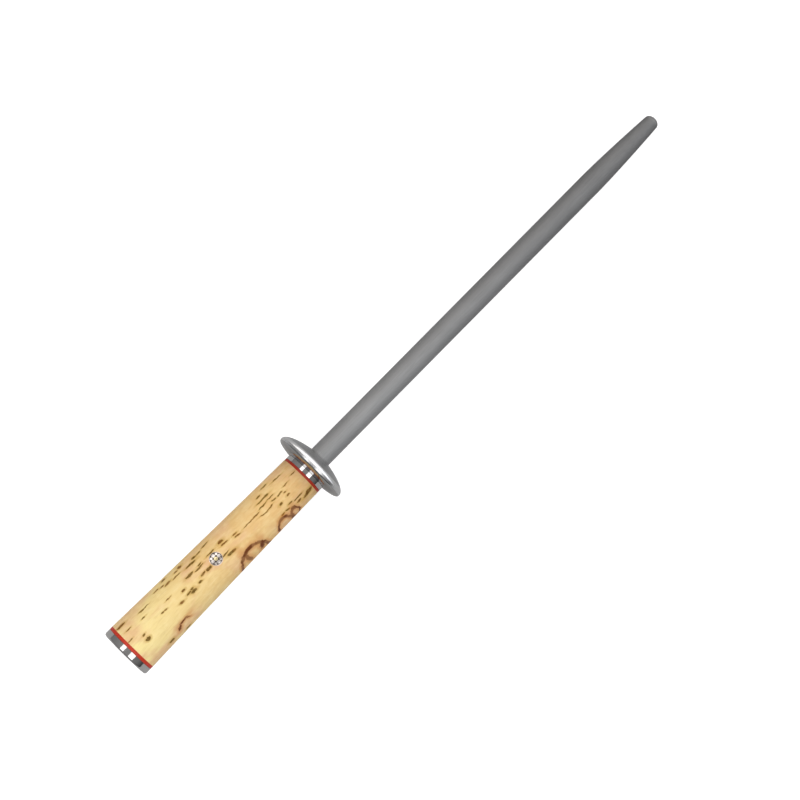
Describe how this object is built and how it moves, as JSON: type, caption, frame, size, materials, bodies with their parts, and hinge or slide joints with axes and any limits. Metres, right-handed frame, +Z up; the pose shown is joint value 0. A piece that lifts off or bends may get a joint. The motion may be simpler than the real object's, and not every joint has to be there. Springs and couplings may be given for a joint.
{
  "type": "knife sharpening steel",
  "caption": "Round sharpening steel with a tapered tip, domed round guard and flared birch grip with red spacers, steel collar, steel end cap and mosaic pin.",
  "frame": {"origin": "on the bench, under the middle of the steel's bounding box, with the steel lying on the guard's rim and the rod's tip", "axes": "+Z up from the bench, +X towards the rod's tip; the rod's axis dips 3.8 degrees towards the tip, and +Y is level across the steel"},
  "size_m": [0.3582, 0.0382, 0.0401],
  "materials": {
    "rod_steel": "dull satin grey with fine lengthwise cuts",
    "guard_steel": "satin stainless steel, polished on the back",
    "polished_steel": "mirror-polished stainless steel",
    "red_fibre": "red vulcanised fibre, sanded flush",
    "birch": "curly flecked birch, oiled and buffed",
    "pin_tube_steel": "sanded flush with the wood",
    "pin_rod_steel": "sanded flush with the wood",
    "pin_brass": "sanded flush with the wood",
    "pin_resin": "dark cured resin"
  },
  "bodies": {
    "root": {"sharpening_rod": "rod_steel", "guard": "guard_steel", "front_collar": "polished_steel", "front_spacer": "red_fibre", "grip": "birch", "rear_spacer": "red_fibre", "end_cap": "polished_steel", "mosaic_pin_tube": "pin_tube_steel", "mosaic_pin_resin": "pin_resin", "mosaic_pin_centre_rod": "pin_brass", "mosaic_pin_large_rod_1": "pin_rod_steel", "mosaic_pin_large_rod_2": "pin_rod_steel", "mosaic_pin_large_rod_3": "pin_rod_steel", "mosaic_pin_large_rod_4": "pin_rod_steel", "mosaic_pin_small_rod_1": "pin_rod_steel", "mosaic_pin_small_rod_2": "pin_rod_steel", "mosaic_pin_small_rod_3": "pin_rod_steel", "mosaic_pin_small_rod_4": "pin_rod_steel"}
  },
  "joints": []
}
